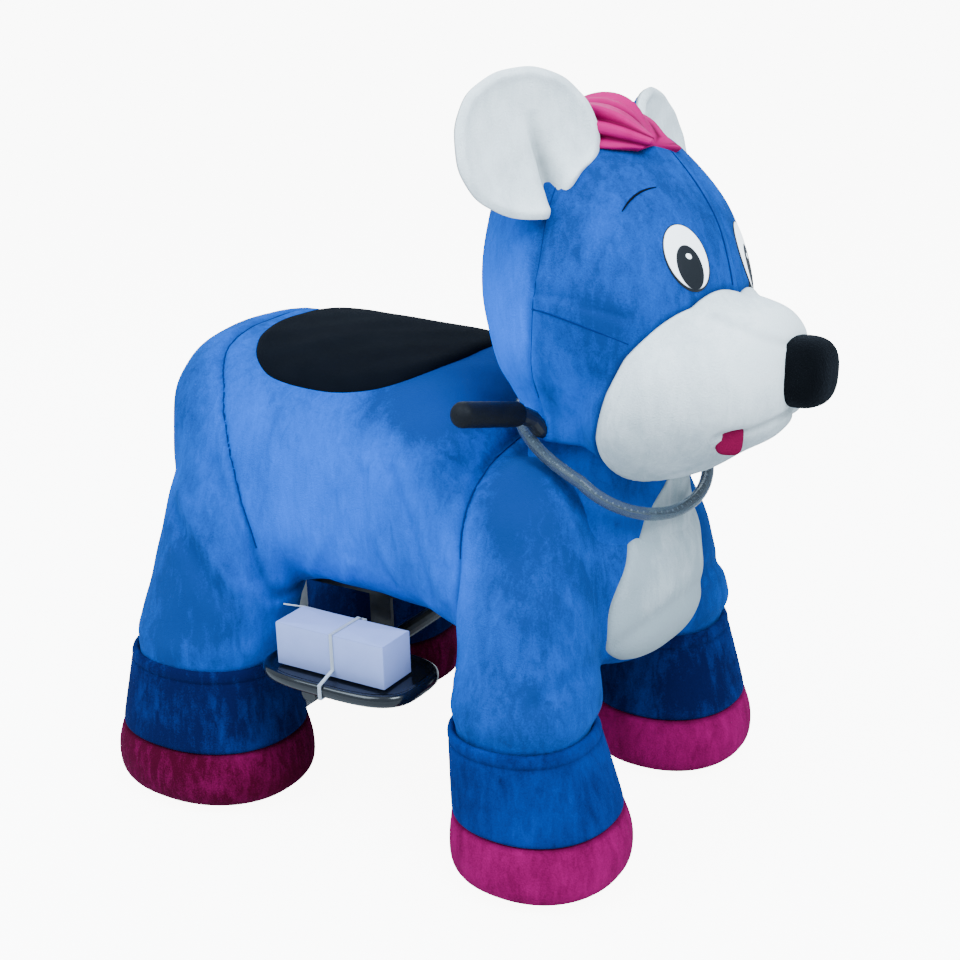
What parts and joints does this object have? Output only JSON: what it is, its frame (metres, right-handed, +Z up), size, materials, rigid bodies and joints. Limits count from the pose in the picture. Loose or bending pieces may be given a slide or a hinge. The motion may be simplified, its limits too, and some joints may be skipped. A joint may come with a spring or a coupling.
{
  "type": "plush animal ride-on",
  "caption": "Battery-driven plush animal ride on wheels hidden in hollow feet, with a head that turns with the handlebar, a padded seat and footrests.",
  "frame": {"origin": "centre of the footprint on the floor", "axes": "+X forward, +Y to the animal's left, +Z up"},
  "size_m": [0.9599, 0.6234, 0.9864],
  "materials": {
    "blue plush": "short-pile mid-blue plush over foam",
    "dark plush": "royal-blue plush",
    "white plush": "off-white plush",
    "pink plush": "magenta plush",
    "pink satin": "fuchsia satin",
    "black plush": "black plush",
    "saddle cloth": "matt black cloth",
    "gloss black": "gloss black",
    "frame paint": "black enamel",
    "steel": "zinc-plated",
    "rubber": "matt black",
    "hub plastic": "grey moulded",
    "case plastic": "black moulded",
    "alloy": "cast, satin",
    "plywood": "sealed plywood",
    "card": "plain white card",
    "nylon": "natural nylon",
    "clear tube": "clear soft vinyl",
    "eye print": "white with a printed pupil",
    "red button": "red moulded"
  },
  "bodies": {
    "chassis": {"front_yoke": "frame paint", "rear_yoke": "frame paint", "axle_bearing_right": "steel", "axle_bearing_left": "steel", "spine_rail": "frame paint", "seat_board": "plywood", "lower_rail_right": "frame paint", "lower_rail_left": "frame paint", "footrest_bar": "frame paint", "footrest_right": "gloss black", "footrest_left": "gloss black", "carton": "card", "carton_tie": "nylon", "gearmotor": "alloy", "battery_shelf": "gloss black", "battery_pack": "case plastic", "motor_controller": "alloy", "torso": "blue plush", "leg_front_right": "blue plush", "leg_front_left": "blue plush", "leg_rear_right": "blue plush", "leg_rear_left": "blue plush", "boot_front_right": "dark plush", "boot_front_left": "dark plush", "boot_rear_right": "dark plush", "boot_rear_left": "dark plush", "seat_cushion": "saddle cloth", "chest_bib": "white plush", "neck": "blue plush"},
    "rear_axle_set": {"rear_axle": "steel", "rear_tyre_right": "rubber", "rear_tyre_left": "rubber", "rear_hub_right": "hub plastic", "rear_hub_left": "hub plastic"},
    "fork_right_set": {"fork_right": "frame paint", "front_axle_right": "steel"},
    "fork_left_set": {"fork_left": "frame paint", "front_axle_left": "steel"},
    "wheel_front_right": {"front_tyre_right": "rubber", "front_hub_right": "hub plastic"},
    "wheel_front_left": {"front_tyre_left": "rubber", "front_hub_left": "hub plastic"},
    "track_rod_set": {"track_rod": "steel"},
    "steering": {"steering_column": "frame paint", "handlebar": "frame paint", "grip_right": "rubber", "grip_left": "rubber", "switch_pod": "case plastic", "head": "blue plush", "muzzle": "white plush", "nose": "black plush", "eye_right": "eye print", "eye_left": "eye print", "ear_right": "blue plush", "ear_left": "blue plush", "tuft": "pink satin", "tongue": "pink satin", "light_tube": "clear tube"},
    "go_button_set": {"go_button": "red button"}
  },
  "joints": [
    {"name": "steering_turn", "type": "hinge", "parent": "chassis", "child": "steering", "pos_m": [0.188, 0, 0.43], "axis": [0, 0, 1], "range_deg": [-25, 25], "deforming": ["light_tube"]},
    {"name": "fork_right_turn", "type": "hinge", "parent": "chassis", "child": "fork_right_set", "pos_m": [0.188, -0.187, 0.3], "axis": [0, 0, 1], "range_deg": [-25, 25]},
    {"name": "fork_left_turn", "type": "hinge", "parent": "chassis", "child": "fork_left_set", "pos_m": [0.188, 0.187, 0.3], "axis": [0, 0, 1], "range_deg": [-25, 25]},
    {"name": "track_rod_pivot", "type": "hinge", "parent": "steering", "child": "track_rod_set", "pos_m": [0.128, 0, 0.364], "axis": [0, 0, 1], "range_deg": [-25, 25]},
    {"name": "wheel_front_right_spin", "type": "hinge", "parent": "fork_right_set", "child": "wheel_front_right", "pos_m": [0.188, -0.187, 0.07], "axis": [0, 1, 0], "continuous": true},
    {"name": "wheel_front_left_spin", "type": "hinge", "parent": "fork_left_set", "child": "wheel_front_left", "pos_m": [0.188, 0.187, 0.07], "axis": [0, 1, 0], "continuous": true},
    {"name": "rear_axle_spin", "type": "hinge", "parent": "chassis", "child": "rear_axle_set", "pos_m": [-0.336, 0, 0.075], "axis": [0, 1, 0], "continuous": true},
    {"name": "go_button_press", "type": "slide", "parent": "steering", "child": "go_button_set", "axis": [1, 0, 0], "range_m": [0, 0.0025], "stiffness_N_per_m": 300}
  ],
  "couplings": [
    {"joint": "fork_right_turn", "follows": "steering_turn", "ratio": 1},
    {"joint": "fork_left_turn", "follows": "steering_turn", "ratio": 1},
    {"joint": "track_rod_pivot", "follows": "steering_turn", "ratio": -1}
  ]
}
